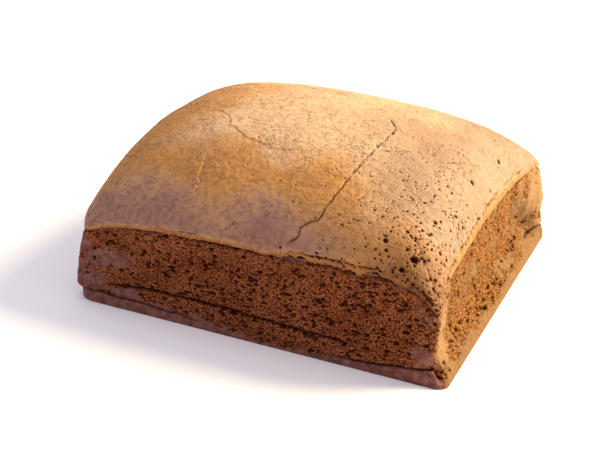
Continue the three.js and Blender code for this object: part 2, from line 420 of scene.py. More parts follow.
# %% Tear the crust along the cracks
cracked = np.zeros_like(cx)
wander = 0.7 * noise_2d(lu, lv, 3.4, 3.4, 21) + 0.45 * noise_2d(lu, lv, 1.2, 1.2, 22)
openness = noise_2d(lu, lv, 5.0, 5.0, 23) + 0.5 * noise_2d(lu, lv, 1.6, 1.6, 24)
for path, half_width, depth, lift in CRACKS:
    gap, side = along_path(cx + wander, cy + wander, path)
    from_start = np.hypot(cx - path[0][0], cy - path[0][1])
    from_end = np.hypot(cx - path[-1][0], cy - path[-1][1])
    ends = np.minimum(from_start, from_end)
    open_share = smooth(0.55 + 0.2 * depth + 0.8 * openness) * smooth(ends / 4)
    groove = np.exp(-((gap / (half_width * (0.6 + 0.6 * open_share))) ** 2)) * open_share
    relief += lift * side * np.exp(-gap / 1.8) * (1 - groove) * smooth(ends / 8) - depth * groove
    cracked = np.maximum(cracked, groove * min(1.0, 0.15 + 0.75 * depth))
print("cracks on", round(float((cracked > 0.5).mean()) * 100, 2), "% of the crust")

# %% [markdown]
# ## Cracks along the rim
# The rim is stiff and the dome pulls on it, so dashed cracks run along it, a few millimetres
# inside. On the right there are two rows of them, one behind the other.

# %% Cracks along the crust's rim
faces_right = (from_rim == u_lengths[-1] - lu).astype(float)
faces_front = (from_rim == lv).astype(float)
RIM_CRACKS = [
    # side, coordinate along it, from, to, distance from the rim, half-width, depth
    (faces_right, cy, -88, 16, 4.4, 0.90, 1.8),
    (faces_right, cy, -50, 44, 1.9, 0.50, 0.6),
    (faces_right, cy, 20, 56, 4.8, 0.60, 1.0),
    (faces_front, cx, 22, 66, 3.2, 0.50, 1.1),
    (faces_front, cx, -62, -28, 1.5, 0.40, 0.6),
]
for facing, along, start, end, inside, half_width, depth in RIM_CRACKS:
    reach = facing * smooth((along - start) / 6) * smooth((end - along) / 6)
    dashes = smooth(0.75 + 1.0 * openness)
    groove = np.exp(-(((from_rim - inside - 0.8 * wander) / half_width) ** 2)) * reach * dashes
    relief -= depth * groove
    relief += 0.45 * reach * np.exp(-(((from_rim - inside + 1.4) / 1.0) ** 2))
    cracked = np.maximum(cracked, groove)
print(len(RIM_CRACKS), "rows of cracks along the rim")

# %% [markdown]
# ## Pressing dents into a surface
# A bubble that burst in the oven leaves a small round hole with steep sides. A pore of torn crumb
# is the same thing cut open. Both could be cut with thousands of Booleans, which is slow and fails
# easily. Pressing them into a fine grid of heights is quick, and it also tells the material which
# points are deep, so that it can darken them.


# %% Press round dents into a grid
def press(relief, deep, points, spacing, dents, wraps=False, steep=0.35):
    """Each dent is (row, column, radius, depth, wide), where wide stretches it along the rows."""
    rows, columns = relief.shape
    for row, column, radius, depth, wide in dents:
        half_r = int(radius / spacing[0]) + 2
        half_c = int(radius * wide / spacing[1]) + 2
        r = np.arange(max(0, row - half_r), min(rows, row + half_r + 1))
        c = np.arange(column - half_c, column + half_c + 1)
        c = c % columns if wraps else c[(c >= 0) & (c < columns)]
        patch = np.ix_(r, c)
        gap = points[patch] - points[row, column]
        flat = gap[..., 0] ** 2 + gap[..., 1] ** 2
        far = np.sqrt(flat / wide**2 + gap[..., 2] ** 2) / radius
        hollow = np.clip(1 - far**2, 0, 1) ** steep
        relief[patch] = np.minimum(relief[patch], -depth * hollow)
        deep[patch] = np.maximum(deep[patch], hollow)


# %% [markdown]
# ## Burst bubbles
# Bubbles rise in the batter and burst through the crust. On this cake most are near the front right
# corner, from fine pinholes to a few of 3 or 4 mm. The largest are placed one by one and the rest
# are drawn at random, thinning out towards the back left.

# %% Large bubbles
LARGE_BUBBLES = [  # place in plan and radius
    (76.7, -89.1, 1.9), (72.9, -95.2, 1.3), (61.5, -87.5, 1.2), (69.2, -78.6, 1.0), (77.5, -62.2, 1.15),
    (63.4, -91.1, 0.9), (84.0, -72.7, 1.2), (87.0, -88.2, 1.0), (81.1, -14.3, 1.6), (83.0, 29.5, 1.5),
    (86.7, 1.5, 1.1), (75.7, 45.3, 0.8), (86.1, -43.2, 1.1), (82.9, -45.5, 0.9), (74.3, -35.6, 0.8),
]
rng = np.random.default_rng(5)
dents = []


def nearest(x, y):
    """Row and column of the crust's point nearest to a place in plan."""
    k = int(np.argmin((cx - x) ** 2 + (cy - y) ** 2))
    return divmod(k, cx.shape[1])


for x, y, radius in LARGE_BUBBLES:
    row, column = nearest(x, y)
    dents.append((row, column, radius, radius * 1.5, 1.0))
print(len(LARGE_BUBBLES), "large bubbles")

# %% [markdown]
# ## Small bubbles
# Each try picks a place on the crust at random and keeps it by how crowded the bubbles are there.
# Small ones are far more common than big ones, so the random size is raised to a power.

# %% Small bubbles
BUBBLE_TRIES = 11000
for _ in range(BUBBLE_TRIES):
    row, column = (int(k) for k in rng.integers(5, CRUST_GRID - 5, 2))
    x, y = cx[row, column], cy[row, column]
    crowd = math.exp(-(((88 - x) / 42) ** 2) - ((y + 88) / 72) ** 2)
    corner = math.exp(-(((80 - x) / 16) ** 2) - ((y + 84) / 16) ** 2)
    crowd = 0.05 + 0.8 * crowd + 0.5 * corner
    if rng.random() < crowd:
        radius = 0.26 + (0.2 + 0.4 * min(1.0, crowd)) * rng.random() ** 3.0
        dents.append((row, column, radius, radius * 1.25, 1.0))
print(len(dents), "bubbles so far")

# %% [markdown]
# ## Pits along the front edge
# Just over the front edge the batter boiled against the tin, which left small wide pits, most of
# them right of the middle and at the right corner.

# %% Pits along the front edge
PIT_TRIES = 420
for _ in range(PIT_TRIES):
    reach, height = rng.random(2)
    x = -20 + 118 * reach
    row, column = nearest(x, -98)
    row = int((0.9 + 4.5 * height) / v_lengths[1])
    keep = 0.35 * math.exp(-(((x - 44) / 24) ** 2)) + 0.7 * math.exp(-(((x - 92) / 12) ** 2))
    if rng.random() < keep:
        radius = 0.28 + 0.35 * rng.random() ** 2
        dents.append((row, column, radius, radius * 1.3, 1.3))


# %% [markdown]
# ## Press them all into the crust
# The bubbles get a relief of their own first, in which the deepest one wins where two overlap. How
# deep a point lies in its bubble is kept as well, for the colour.

# %% Press the bubbles into the crust
holes = np.zeros_like(cx)
pits = np.zeros_like(cx)
# points crowd together at the corners, so the search reaches further than their usual spacing
crust_spacing = (0.6 * v_lengths[1], 0.6 * u_lengths[1])
press(pits, holes, crust_points, crust_spacing, dents, steep=0.4)
relief += pits
print(len(dents), "bubbles in the crust")

# %% [markdown]
# ## The flat map of a piece
# Every piece has a flat map of its faces, on which its colours can be stored later. The grid fills
# the map but for a narrow margin. The faces that close a piece inside the cake get strips of their
# own in that margin, so they share no place on the map with a face that shows.

# %% Places on the flat map
MAP_MARGIN = 0.02
MAP_REACH = 0.497  # from the map's middle to just inside its border


def stations(count):
    """Evenly spaced places across a piece's map, inside its margin."""
    return np.linspace(MAP_MARGIN, 1 - MAP_MARGIN, count)


def spread_map(mesh, hub):
    """Gives the faces that meet at the hub their own strip in the map's margin."""
    corner_points = np.empty(len(mesh.loops), dtype=np.int32)
    mesh.loops.foreach_get("vertex_index", corner_points)
    starts = np.empty(len(mesh.polygons), dtype=np.int32)
    mesh.polygons.foreach_get("loop_start", starts)
    uv = np.empty(len(mesh.loops) * 2, dtype=np.float32)
    mesh.uv_layers[0].data.foreach_get("uv", uv)
    uv = uv.reshape(-1, 2)
    at_hub = np.flatnonzero(corner_points == hub)
    first = starts[np.searchsorted(starts, at_hub, side="right") - 1]
    edge = (uv[first + (at_hub - first + 1) % 3] + uv[first + (at_hub - first + 2) % 3]) / 2 - 0.5
    outer = np.abs(edge).argmax(axis=1)
    each = np.arange(len(edge))
    edge[each, outer] = np.sign(edge[each, outer]) * MAP_REACH
    uv[at_hub] = edge + 0.5
    mesh.uv_layers[0].data.foreach_set("uv", uv.ravel())


# %% [markdown]
# ## Closing a piece
# A sheet isn't a solid thing, so each piece is closed. Its open border is extruded and merged at
# one point inside the cake. A plain solidified sheet would need twice the faces for an inside that
# nobody sees.


# %% Close a piece inside the cake
def close_inside(piece, middle):
    """Extrudes the open border and merges it at a point inside the cake."""
    bpy.ops.object.mode_set(mode="EDIT")
    bpy.ops.mesh.select_mode(type="EDGE")
    bpy.ops.mesh.select_all(action="DESELECT")
    bpy.ops.mesh.select_non_manifold()
    bpy.ops.mesh.mark_sharp()
    bpy.ops.mesh.extrude_region()
    bpy.ops.mesh.select_mode(type="VERT")
    bpy.ops.mesh.merge(type="CENTER")
    bpy.ops.object.mode_set(mode="OBJECT")
    hub = [v for v in piece.data.vertices if v.select]
    assert len(hub) == 1, len(hub)
    hub[0].co = (Vector(middle) + Vector(SHIFT)) * MM
    spread_map(piece.data, hub[0].index)
    bpy.ops.object.mode_set(mode="EDIT")
    bpy.ops.mesh.select_all(action="SELECT")
    bpy.ops.mesh.normals_make_consistent(inside=False)
    bpy.ops.object.mode_set(mode="OBJECT")
    bpy.ops.object.shade_smooth()


# %% [markdown]
# ## From points to a piece
# Blender's grid primitive gives the faces, and the points found above are written into it. Every
# point also keeps a few marks, such as how deep it lies in a bubble. The materials take their
# colours from these marks.


# %% Make a grid into a piece
def grid_piece(name, points, marks, middle, uv):
    """points is rows by columns by 3 in mm; marks are named values for each point."""
    rows, columns = points.shape[:2]
    bpy.ops.object.select_all(action="DESELECT")
    bpy.ops.mesh.primitive_grid_add(x_subdivisions=columns - 1, y_subdivisions=rows - 1, size=TIN * MM)
    piece = bpy.context.object
    piece.name = piece.data.name = name
    mesh = piece.data
    assert len(mesh.vertices) == rows * columns, (len(mesh.vertices), rows, columns)
    mesh.vertices.foreach_set("co", ((points + SHIFT) * MM).astype(np.float32).ravel())
    for mark, values in marks.items():
        layer = mesh.attributes.new(mark, "FLOAT", "POINT")
        layer.data.foreach_set("value", values.astype(np.float32).ravel())
    corner_points = np.empty(len(mesh.loops), dtype=np.int32)
    mesh.loops.foreach_get("vertex_index", corner_points)
    mesh.uv_layers[0].name = "OFBake"
    flat = uv.reshape(-1, 2)[corner_points]
    mesh.uv_layers[0].data.foreach_set("uv", flat.astype(np.float32).ravel())
    close_inside(piece, middle)
    return piece


# %% [markdown]
# ## Fewer faces where it is smooth
# The grid is as fine as its smallest bubble everywhere. Thinning takes faces out of the smooth
# stretches first, until the piece has few enough triangles.


# %% Thin out a piece
def thin_out(piece, most):
    """Thins the faces where the surface is smooth, so the piece stays under a number of triangles."""
    count = sum(len(p.vertices) - 2 for p in piece.data.polygons)
    if count > most:
        thin = piece.modifiers.new("thin", "DECIMATE")
        thin.ratio = most / count
        bpy.context.view_layer.objects.active = piece
        bpy.ops.object.modifier_apply(modifier=thin.name)
    print(piece.name, len(piece.data.polygons), "faces")


# %% [markdown]
# ## The crust's lip
# When the skin of the walls came off, it left the crust's edge loose and torn in small steps. The
# lip stands out over the crumb by part of a millimetre. On the right half of the front it is
# broken, and the flakes stand up.

# %% Tear the lip
moved = crust_points + crust_normals * relief[..., None]
out = crust_normals.copy()
out[..., 2] = 0
out /= np.maximum(np.linalg.norm(out, axis=-1, keepdims=True), 1e-9)
front_share = smooth((-cy - 92) / 3)
torn = noise_2d(cx + cy, cy, 7.0, 400, 25) + 0.7 * noise_2d(cx + cy, cy, 2.4, 400, 26)
torn += 0.5 * noise_2d(cx + cy, cy, 1.1, 400, 27)
tear = 1 - smooth(from_rim / 3.5)
loose = 0.8 + 0.4 * front_share * smooth((cx + 60) / 30) * smooth((80 - cx) / 20)
moved = moved + tear[..., None] * loose[..., None] * (out * (0.45 * torn)[..., None])
moved[..., 2] += tear * loose * (0.55 * torn + 0.25)
broken = faces_front * smooth((cx - 12) / 8) * smooth((76 - cx) / 14)
moved[..., 2] += tear * broken * (1.0 + 1.0 * torn)
print("the lip is torn by up to", round(float(np.abs(0.45 * torn * loose).max()), 1), "mm")

# %% [markdown]
# ## The crust's browning and its painted light
# The crust is tan on top. Towards the front and left it is golden and darker, partly from browning
# and partly as painted shade on the sides away from the key lamp. On the right and back, which face
# the key lamp, a darker ruddy tone is painted to tone down and tint that lamp's light. The front
# shoulder, mostly on its left, is violet brown, which is painted sheen and shade. Right at the lip it
# is toasted gold, and near the front right corner it is scorched. Each of these is a mark from 0 to 1
# on the points, with edges made uneven by noise.

# %% Marks for the crust's colours
mottle = noise_2d(lu, lv, 30, 24, 28) + 0.5 * noise_2d(lu, lv, 11, 9, 29)
spots = noise_2d(lu, lv, 4.5, 3.5, 30) + 0.6 * noise_2d(lu, lv, 2.0, 1.6, 50)
# painted sheen and shade: violet brown on the front shoulder, mostly on its left
painted_sheen = smooth((33 - lv) / 30 + 0.25 * mottle + 0.14 * spots)
painted_sheen *= (1 - 0.9 * smooth((cx - 5) / 55 + 0.2 * mottle)) * smooth((lu - 4) / 14)
# golden tone: partly browning, partly painted shade on the sides away from the key lamp
gold_and_shade = smooth((-cx - 30) / 45 + 0.3 * mottle) * smooth((70 - cy) / 60)
gold_and_shade = np.maximum(gold_and_shade, smooth((-cy - 34 - 22 * smooth((cx - 20) / 40)) / 36 + 0.3 * mottle))
gold_and_shade *= 1 - painted_sheen
# painted ruddy tone on the right and back, which face the key lamp, to tone down its light
painted_key_tint = smooth((cx - 22) / 55 + 0.2 * mottle) + smooth((cy - 70) / 28)
painted_key_tint = np.clip(painted_key_tint, 0, 1)

# the lip's own colours lie over the others
front_or_right = np.maximum(faces_front, faces_right)
rim = np.exp(-((from_rim / (1.7 + 0.7 * torn)) ** 2)) * front_or_right
rim = np.maximum(rim, broken * smooth((4.4 + 0.7 * torn - from_rim) / 1.5))
painted_sheen *= 1 - np.clip(1.3 * rim, 0, 1)
scorch = np.exp(-(((cx - 86) / 26) ** 2) - ((cy + 90) / 15) ** 2) * (1.0 + 0.3 * mottle + 0.3 * spots)
rolled = faces_right * smooth((5.2 + 0.8 * torn - from_rim) / 1.2) * smooth((70 - cy) / 40)
gold_and_shade = np.maximum(gold_and_shade, rolled)
crust_marks = {"hole": holes, "crack": cracked, "painted_sheen": painted_sheen, "gold_and_shade": gold_and_shade, "rim": rim}
crust_marks.update({"painted_key_tint": painted_key_tint, "scorch": np.clip(scorch, 0, 1), "wrinkle": wrinkle})
print("marks of the crust:", ", ".join(crust_marks))

# %% [markdown]
# ## The finished crust
# The border is carried on for four rings of points: out, under and inwards below the crust. That
# gives the lip a thickness, and then the points become a piece.

# %% Turn the lip under and make the piece
LIP = [(0.25, -0.45), (-0.35, -0.5), (-1.6, -0.35), (-4.0, 0.0)]  # out and up for each ring, in mm
CRUST_HUB = (0, 0, 30)
lip_out = out
for step_out, step_up in LIP:
    moved = np.pad(moved, ((1, 1), (1, 1), (0, 0)), mode="edge")
    lip_out = np.pad(lip_out, ((1, 1), (1, 1), (0, 0)), mode="edge")
    border = np.zeros(moved.shape[:2], bool)
    border[0], border[-1], border[:, 0], border[:, -1] = True, True, True, True
    moved[border] += lip_out[border] * step_out + np.array([0, 0, step_up])
    crust_marks = {k: np.pad(m, 1, mode="edge") for k, m in crust_marks.items()}

crust_map = np.stack(np.meshgrid(stations(moved.shape[1]), stations(moved.shape[0])), -1)
crust = grid_piece("crust", moved, crust_marks, CRUST_HUB, crust_map)
thin_out(crust, MOST_TRIANGLES)

# %% [markdown]
# ## The torn walls
# The skin of the walls stuck to the tin, and it took some crumb with it. What is left is a sponge
# torn open: thousands of small pores, drawn a little sideways by the cake's own weight. All four
# walls are one ring of points, so their relief runs round the corners without a seam. The ring is
# parted at the corners into four pieces at the end.

# %% The ring of wall points
WALL_COLUMNS = 600
WALL_ROWS = 158
run = np.arange(4 * WALL_COLUMNS)
side = run // WALL_COLUMNS
along_side = -1 + 2 * (run % WALL_COLUMNS) / WALL_COLUMNS
ring_u = np.select([side == 0, side == 1, side == 2], [along_side, 1.0, -along_side], -1.0)
ring_v = np.select([side == 0, side == 1, side == 2], [-1.0, along_side, 1.0], -along_side)
climb = np.linspace(0, 1, WALL_ROWS)[:, None]
wx, wy, wz = wall(ring_u[None, :], ring_v[None, :], climb)
wall_points = np.stack([wx, wy, wz], -1)
wall_normals = outward(wx, wy, wz, around=True)
q = np.broadcast_to(run * TIN / WALL_COLUMNS, wx.shape)
on_front = (side == 0)[None, :] & (wy < -60)
on_right = (side == 1)[None, :] & (wx > 60)
below_lip = np.broadcast_to(1 - climb, wx.shape) * wz / np.maximum(climb, 1e-3)
below_lip = np.where(climb < 0.02, 50, below_lip)
print("the walls have", wx.size, "points")

# %% [markdown]
# ## Noise round the cake
# Noise on the walls is laid out by the way round the cake and by height, and it has to meet itself
# after four sides.


# %% Noise that closes into a ring
def ring_noise(cell_a, cell_b, seed):
    """Soft noise on the walls; the cell's sizes are along the wall and up it, in mm."""
    return noise_2d(q, wz, cell_a, cell_b, seed, around=4 * TIN)


# %% [markdown]
# ## Where the skin stayed
# The skin's mask is 1 where the skin stayed and 0 on torn crumb. It stayed in a band round the
# foot, narrow in the middle of the front and wide towards its right end. The band's top is clean on
# the front's right half and ragged elsewhere.

# %% The band of skin round the foot
ragged = 0.55 * ring_noise(9, 6, 31) + 0.4 * ring_noise(3.2, 2.4, 32) + 0.3 * ring_noise(1.3, 1.1, 33)
front_dip = np.exp(-(((wx - 5) / 28) ** 2))
front_right = on_front & (wx > 30)
band_top = np.where(on_front, 7.0 - 5.4 * front_dip, 5.0)
band_top = np.where(front_right, np.interp(wx, (30, 57, 80, 96), (3.0, 4.2, 6.6, 9.4)), band_top)
band_top = np.where(on_right, 4.5 + 1.5 * smooth((wy - 20) / 50), band_top)
band_ragged = np.where(on_right, 3.2, np.where(front_right, 0.5, 2.2))
skin = (band_top + band_ragged * ragged - wz) / 0.9
print("the band is", band_top.min().round(1), "to", band_top.max().round(1), "mm high")

# %% [markdown]
# ## Patches of skin
# Larger patches of skin stayed on near the corners, where the cake came away from the tin first.
# Small islands are left on the walls that don't show in front, and a thin line of skin hangs under
# the crust.


# %% Patches, islands and the mask
def patch(x, y, z, size):
    """A soft round patch on the walls; size is its reach along the wall and up it."""
    gap = np.hypot((wx - x), (wy - y)) / size[0]
    return 1 - np.hypot(gap, (wz - z) / size[1])


PATCHES = [  # middle of the patch on the wall, and its reach along and up
    (-97, -92, 24, (11, 15)),
    (-92, -98, 13, (10, 6)),
    (-80, -98, 27, (10, 5)),
    (-70, -98, 9, (9, 4)),
    (88, -97, 13, (8, 5)),
    (93, -84, 24, (14, 24)),
    (91, -70, 36, (7, 5)),
    (97, 80, 30, (28, 27)),
]
for x, y, z, reach in PATCHES:
    kept = 1.5 * patch(x, y, z, reach) + (1.1 + 0.5 * on_right) * ragged
    skin = np.maximum(skin, kept - 0.2 * on_right)
islands = 1.5 * ring_noise(24, 8, 37) + 1.5 * ragged - 1.2
skin = np.maximum(skin, np.where(on_front, -9, islands))
lip_skin = (1.6 - below_lip + 1.6 * ragged) / 1.2
skin = np.maximum(skin, np.where(on_front, lip_skin, lip_skin - 1.0))
skin = smooth(skin + 0.5)
crumb = 1 - skin
print("skin on", round(float(skin.mean()) * 100), "% of the walls")

# %% [markdown]
# ## Creases of the walls
# A long crease runs across the front wall, where the batter sank while it was still soft. The band
# round the foot ends in a second, finer crease, and the ear at the back right has a short one. Each
# crease is drawn through a few heights along its wall.

# %% Where the creases run
FOLD = [
    (-84, 12.0), (-74, 12.3), (-57, 14.0), (-33, 14.4), (-17, 14.3),
    (-5, 13.7), (17, 13.0), (34, 12.4), (46, 12.3), (56, 11.3),
]
FRONT_BAND = [(-97, 6.4), (-67, 6.0), (-20, 4.0), (20, 2.6), (39, 3.7), (57, 4.4), (80, 6.8), (96, 9.8)]
SIDE_BAND = 5.6


def height_along(x, stations):
    """The height of a crease at x, drawn through (x, z) stations."""
    xs, zs = zip(*stations)
    return np.interp(x, xs, zs)


fold_gap = wz - height_along(wx, FOLD) - 0.35 * ring_noise(6, 50, 34)
fold_reach = smooth((wx + 86) / 12) * (1 - smooth((wx - 44) / 14)) * on_front
fold = np.exp(-((fold_gap / 0.85) ** 2)) * fold_reach
band_gap = wz - np.where(on_front, height_along(wx, FRONT_BAND), SIDE_BAND) - 0.3 * ring_noise(5, 50, 35)
band_reach = np.where(on_right, 0.0, 0.7)
band_reach = np.where(on_front, 0.4 + 0.6 * smooth((np.abs(wx - 5) - 28) / 20), band_reach)
band = np.exp(-((band_gap / 0.6) ** 2)) * band_reach
ear_gap = wz - 8.0 - 0.5 * ring_noise(4, 50, 38)
ear_crease = np.exp(-((ear_gap / 0.9) ** 2)) * smooth((wy - 62) / 10) * on_right
print("the fold is", FOLD[0][1], "to", max(z for x, z in FOLD), "mm over the floor")

# %% [markdown]
# ## Press the creases
# Skin stands a little proud of the torn crumb, less so high up, where it is thinnest. The creases
# are pressed in, and the batter that sank into the fold bulges just under it.

# %% Relief of skin and creases
low_skin = 0.35 + 0.65 * smooth((16 - wz) / 6)
wall_relief = 0.45 * skin * low_skin * smooth(wz / 1.5) * (0.5 + 0.5 * ring_noise(14, 9, 36))
wall_relief -= 1.6 * ear_crease
wall_relief -= 2.2 * fold + 1.5 * band
wall_relief += 0.8 * np.exp(-(((fold_gap + 2.6) / 1.8) ** 2)) * fold_reach
print("deepest crease", round(float(-wall_relief.min()), 1), "mm")

# %% [markdown]
# ## Rough crumb
# Torn crumb is rough at three sizes, from 7 mm down to 1 mm. Skin is only slightly rough but has
# tiny crinkles. The right wall also hangs in soft upright drapes, because it slid down as it
# shrank.

# %% Rough crumb and drapes
rough = 0.28 * ring_noise(7, 5, 41) + 0.28 * ring_noise(2.8, 1.8, 42) + 0.22 * ring_noise(1.2, 0.8, 43)
crinkle = 1 - 2 * np.abs(ring_noise(3.4, 1.6, 39))
wall_relief += crumb * (rough - 0.25) + skin * (0.3 * rough + 0.2 * crinkle)
drape = ring_noise(9, 45, 56) + 0.6 * ring_noise(4.5, 30, 57)
wall_relief += 0.85 * drape * on_right * smooth((wz - 6) / 10)
print("roughness of up to", round(float(np.abs(rough).max()), 1), "mm")

# %% [markdown]
# ## Under the lip
# The crumb draws back right under the crust, and a broken line of shade marks where it tore off.

# %% Draw the crumb back under the lip
DRAW_BACK = 1.2
wall_relief -= DRAW_BACK * (1 - smooth((below_lip - 0.8) / 2.4)) * (1 - 0.4 * on_right)
lip_gap = below_lip - 1.5 - 0.6 * ring_noise(3.0, 50, 40) - 0.4 * ring_noise(1.3, 50, 54)
lip_shade = np.exp(-((lip_gap / 0.75) ** 2)) * smooth(0.75 + 0.7 * ring_noise(6, 50, 55))
wall_relief -= 0.7 * lip_shade
print("the crumb draws back by up to", DRAW_BACK, "mm under the lip")

# %% [markdown]
# ## Where the pores are
# Pores stand close together, so they are drawn from an even lattice with a random shift each. A
# pore is kept only on crumb, and less often right under the crust, where the crumb is finer. Nearly
# all are half a millimetre to a millimetre in size and a few are up to 2 mm, all wider than high.

# %% Draw the pores
rng = np.random.default_rng(8)
pores = []
dense = smooth((below_lip - 3) / 9 + 0.5 * ring_noise(16, 8, 44))
open_share = np.where(on_right, 0.65 + 0.35 * smooth((30 - wz) / 20), 0.50 + 0.50 * dense)
PORE_STEP = ((0.90, 1.20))  # up the wall and along it, in mm
LOWEST_PORE = 1.2
HIGHEST_PORE = 52
pore_rows = np.arange(LOWEST_PORE, HIGHEST_PORE, PORE_STEP[0])
pore_columns = np.arange(0, 4 * TIN, PORE_STEP[1])
for height in pore_rows:
    for run_to in pore_columns:
        up_draw, along_draw, size_draw, wide_draw, keep_draw = rng.random(5)
        column = int((run_to + PORE_STEP[1] * along_draw) / TIN * WALL_COLUMNS) % (4 * WALL_COLUMNS)
        row = int((height + PORE_STEP[0] * up_draw) / max(wz[-1, column], 1) * WALL_ROWS)
        if not 4 <= row < WALL_ROWS - 3 or crumb[row, column] * open_share[row, column] < keep_draw:
            continue
        radius = 0.22 + 0.16 * size_draw + 0.7 * size_draw**20
        pores.append((row, column, radius, radius * 1.5, 1.2 + 1.1 * wide_draw))
print(len(pores), "pores in the walls")

# %% [markdown]
# ## Press the pores
# The pores are pressed in like the crust's bubbles, in a relief of their own. On skin they are only
# a quarter as deep.

# %% Press the pores into the walls
wall_pits = np.zeros_like(wx)
pore = np.zeros_like(wx)
LOWEST_EDGE = 36.0  # of the crust, where the wall's rows are closest
wall_spacing = (LOWEST_EDGE / WALL_ROWS, TIN / WALL_COLUMNS)
press(wall_pits, pore, wall_points, wall_spacing, pores, wraps=True, steep=0.6)
wall_relief += wall_pits * (0.25 + 0.75 * crumb)
print("deepest pore", round(float(-wall_pits.min()), 1), "mm")

# %% [markdown]
# ## The torn corner
# At the front right the upright edge is ragged, and low down a bite of crumb is torn out.

# %% Tear the front right corner
ragged_edge = np.exp(-((np.hypot(wx - 90.5, wy + 96.5) / 3.2) ** 2)) * smooth((wz - 3) / 3)
wall_relief += ragged_edge * (1.1 * ring_noise(2.2, 2.6, 45) + 0.7 * ring_noise(1.1, 1.2, 46))
torn_corner = np.exp(-((np.hypot(wx - 96.0, wy + 98.5) / 5.0) ** 2) - ((wz - 8) / 3.6) ** 2)
torn_corner *= 0.9 + 0.8 * ring_noise(2.2, 2.0, 49)
wall_relief -= torn_corner * (4.2 + 1.6 * ring_noise(1.6, 1.6, 47))
print("the bite is up to", round(float(4.2 * torn_corner.max()), 1), "mm deep")

# %% [markdown]
# ## Toasted crumb
# A narrow border of crumb was baked dry where the heat got behind the crust: under the broken lip,
# along the top of the right wall and at the torn corner. It is rougher and more golden than the
# rest.

# %% Toasted crumb
broken_band = smooth((wx - 14) / 8) * smooth((70 - wx) / 12)
toast_reach = smooth((wx + 35) / 40) * on_front
toast = smooth((2.4 + 1.8 * broken_band - below_lip + 1.6 * ragged) / 1.4) * toast_reach
toast = np.maximum(toast, np.clip(ragged_edge + 1.4 * torn_corner, 0, 1))
toast = np.maximum(toast, smooth((1.6 - below_lip + ragged) / 1.2) * on_right)
wall_relief -= toast * 0.5 * (1 + ring_noise(2.0, 1.2, 48)) * (1 - ragged_edge)
print("toasted crumb on", round(float(toast.mean()) * 100, 1), "% of the walls")

# %% [markdown]
# ## Move the points
# The relief fades out at the floor, so the foot's line stays where the form has it and meets the
# underside.

# %% The relief moves the wall's points
wall_relief *= smooth(wz / 1.2)
wall_moved = wall_points + wall_normals * wall_relief[..., None]
print("walls move by", [round(float(v), 1) for v in (wall_relief.min(), wall_relief.max())], "mm")

# %% [markdown]
# ## Marks for the walls' colours
# The right wall's crumb is painted warmer and lighter than the front's, as painted light where the
# key lamp falls. The painted light changes at the front right corner and fades out along the back
# wall. Pale skin is left on the ear and beside the front right edge. The creases, the line under the
# lip and the torn corner are marked for painted shade.

# %% Marks for the walls' colours
wall_marks = {"pore": pore, "skin": skin, "toast": toast}
# painted light: the walls that face the key lamp get warmer, lighter colours
lit_side = smooth((run / WALL_COLUMNS - 0.97) / 0.1) * smooth((3.1 - run / WALL_COLUMNS) / 0.8)
wall_marks["lit_side"] = np.broadcast_to(lit_side, wx.shape)
pale = np.maximum(smooth(2 * ear(wy, wz)) * smooth((wz - 7) / 3), patch(93, -84, 26, (18, 28)) * 1.6)
pale = np.maximum(pale, 0.3 * smooth((wz - 20) / 10) * (ring_noise(12, 14, 58) > 0))
wall_marks["pale"] = np.clip(pale, 0, 1) * on_right * (0.8 + 0.2 * ragged)
# painted shade in the creases, in the line under the lip and in the torn corner's bite
crease = fold + band + np.clip(1.5 * torn_corner - 0.4, 0, 1) + 0.9 * lip_shade + ear_crease
wall_marks["crease"] = np.clip(crease, 0, 1)
print("marks of the walls:", ", ".join(wall_marks))

# %% [markdown]
# ## Part the ring
# Each wall takes its own columns of the ring and the first one of the next wall, so that neighbours
# share the line at their corner.

# %% Part the ring into four walls
WALL_NAMES = ("crumb_front", "crumb_right", "crumb_back", "crumb_left")
WALL_HUB = (0, 0, 25)
walls = []
for k, name in enumerate(WALL_NAMES):
    columns = np.arange(k * WALL_COLUMNS, (k + 1) * WALL_COLUMNS + 1) % (4 * WALL_COLUMNS)
    part = wall_moved[:, columns]
    marks = {mark: values[:, columns] for mark, values in wall_marks.items()}
    sheet = np.stack(np.meshgrid(stations(len(columns)), stations(WALL_ROWS)), -1)
    piece = grid_piece(name, part, marks, WALL_HUB, sheet)
    thin_out(piece, MOST_TRIANGLES)
    walls.append(piece)


# %% [markdown]
# ## The underside
# The cake stands on its flat underside, which lay on the tin's bottom. It is a fine skin with a
# faint grain, and its outline is the lowest line of the walls.

# %% Underside
FOOT_GRID = 110
FOOT_HUB = (0, 0, 20)
foot_u, foot_v = np.meshgrid(np.linspace(-1, 1, FOOT_GRID + 1), np.linspace(-1, 1, FOOT_GRID + 1))
foot_s = np.maximum(np.abs(foot_u), np.abs(foot_v))
fu, fv = round_corner(foot_u, foot_v, foot_s, at_corner(foot_u, foot_v, FOOT_RADII))
fx, fy = place(fu, fv, np.zeros_like(fu))
grain = 0.25 + 0.14 * noise_2d(fx, fy, 7, 6, 51) + 0.1 * noise_2d(fx, fy, 2.6, 2.6, 52)
fz = grain * smooth((1 - foot_s) / 0.03)
foot_points = np.stack([fx, fy, fz], -1)
foot_map = np.stack(np.meshgrid(stations(FOOT_GRID + 1), stations(FOOT_GRID + 1)), -1)
foot = grid_piece("underside", foot_points, {"skin": np.ones_like(fx)}, FOOT_HUB, foot_map)
print("underside has", len(foot.data.polygons), "faces")

# %% [markdown]
# ## Colours
# A sponge is light brown all through, and its crust is darker where the heat browned it. The two
# materials share one recipe: colours mixed by the marks on the points, finer mottling from noise, a
# bump for the finest grain, and a roughness that varies a little. Colours are linear light.


